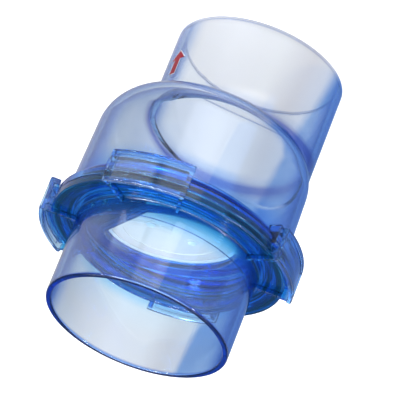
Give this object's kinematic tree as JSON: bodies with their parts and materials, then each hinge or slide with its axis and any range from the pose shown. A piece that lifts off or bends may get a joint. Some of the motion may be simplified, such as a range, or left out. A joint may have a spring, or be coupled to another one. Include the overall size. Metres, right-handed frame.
{
  "type": "check valve",
  "caption": "Clear blue twist-lock check valve for drain pipe, with an inlet socket, a swing flap in a wide chamber and an offset outlet spigot.",
  "frame": {"origin": "on the axis of the inlet socket and the chamber, at the level of the outlet's end face, which the valve stands on", "axes": "+Z along the inlet socket's axis, from the outlet's end up to the inlet's mouth; +Y towards the flap hinge; the outlet spigot is offset towards -Y"},
  "size_m": [0.152, 0.152, 0.203],
  "materials": {
    "clear_blue_chamber": "clear blue-tinted rigid PVC, glossy moulded",
    "clear_blue_inlet": "clear blue-tinted rigid PVC, glossy moulded",
    "clear_pale_plastic": "clear, almost colourless plastic, glossy moulded",
    "teal_plastic": "solid teal plastic, satin moulded",
    "black_rubber": "black nitrile, smooth",
    "dark_rubber": "dark grey-green EPDM, smooth",
    "stainless": "drawn stainless steel",
    "spring_steel": "dark spring steel",
    "rivet_plastic": "pale grey plastic, heat formed",
    "red_print": "crimson inlay with a thin white edge"
  },
  "bodies": {
    "chamber": {"chamber_body": "clear_blue_chamber", "flow_arrow": "red_print"},
    "inlet": {"inlet_body": "clear_blue_inlet", "face_o_ring": "black_rubber", "plug_o_ring": "black_rubber", "hinge_bracket": "teal_plastic", "bracket_screws": "stainless", "hinge_pin": "stainless", "pin_clip_left": "spring_steel", "pin_clip_right": "spring_steel"},
    "flap": {"flap_disc": "clear_pale_plastic", "flap_seal": "dark_rubber", "seal_retainer": "clear_pale_plastic", "retainer_rivets": "rivet_plastic"}
  },
  "joints": [
    {"name": "twist_lock", "type": "hinge", "parent": "chamber", "child": "inlet", "pos_m": [0, 0, 0.1415], "axis": [0, 0, 1], "range_deg": [-45, 0]},
    {"name": "flap_swing", "type": "hinge", "parent": "inlet", "child": "flap", "pos_m": [0, 0.04346, 0.13756], "axis": [1, 0, 0], "range_deg": [0, 55]}
  ]
}
